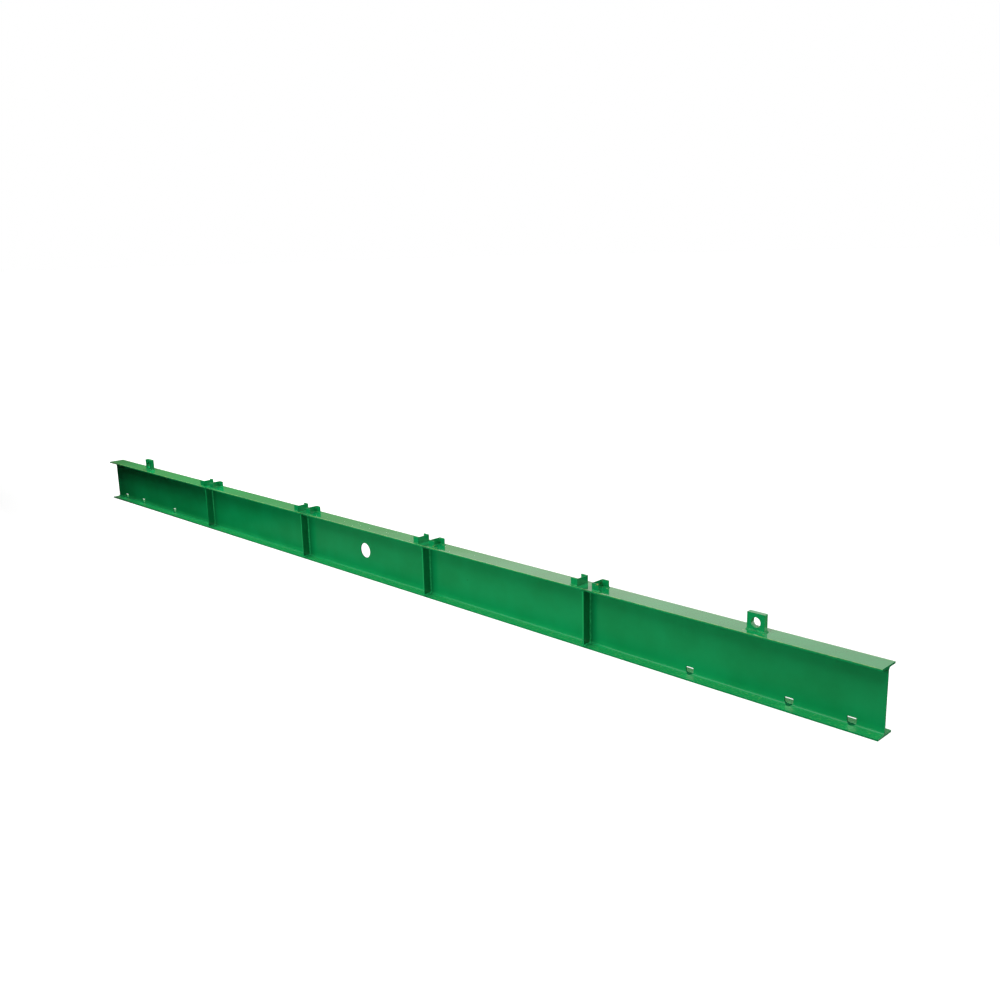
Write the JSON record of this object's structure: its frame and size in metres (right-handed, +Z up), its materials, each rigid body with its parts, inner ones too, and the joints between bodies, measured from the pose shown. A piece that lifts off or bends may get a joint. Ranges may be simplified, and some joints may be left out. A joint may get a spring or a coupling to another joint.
{
  "type": "steel i-beam",
  "caption": "Painted rolled steel I-beam with web stiffeners, channel cleats that seat cross members on its top flange, lifting lugs and holes through the web.",
  "frame": {"origin": "middle of the underside of the lower flange, at mid-length", "axes": "+X along the beam, +Y across the flanges away from the side shown, +Z up"},
  "size_m": [12, 0.21, 0.696],
  "materials": {
    "green_paint": "gloss green paint over steel"
  },
  "bodies": {
    "root": {"i_beam": "green_paint", "stiffener_front_1": "green_paint", "stiffener_back_1": "green_paint", "channel_cleat_left_1": "green_paint", "channel_cleat_right_1": "green_paint", "stiffener_front_2": "green_paint", "stiffener_back_2": "green_paint", "channel_cleat_left_2": "green_paint", "channel_cleat_right_2": "green_paint", "stiffener_front_3": "green_paint", "stiffener_back_3": "green_paint", "channel_cleat_left_3": "green_paint", "channel_cleat_right_3": "green_paint", "stiffener_front_4": "green_paint", "stiffener_back_4": "green_paint", "channel_cleat_left_4": "green_paint", "channel_cleat_right_4": "green_paint", "lifting_lug_left": "green_paint", "lifting_lug_right": "green_paint"}
  },
  "joints": []
}
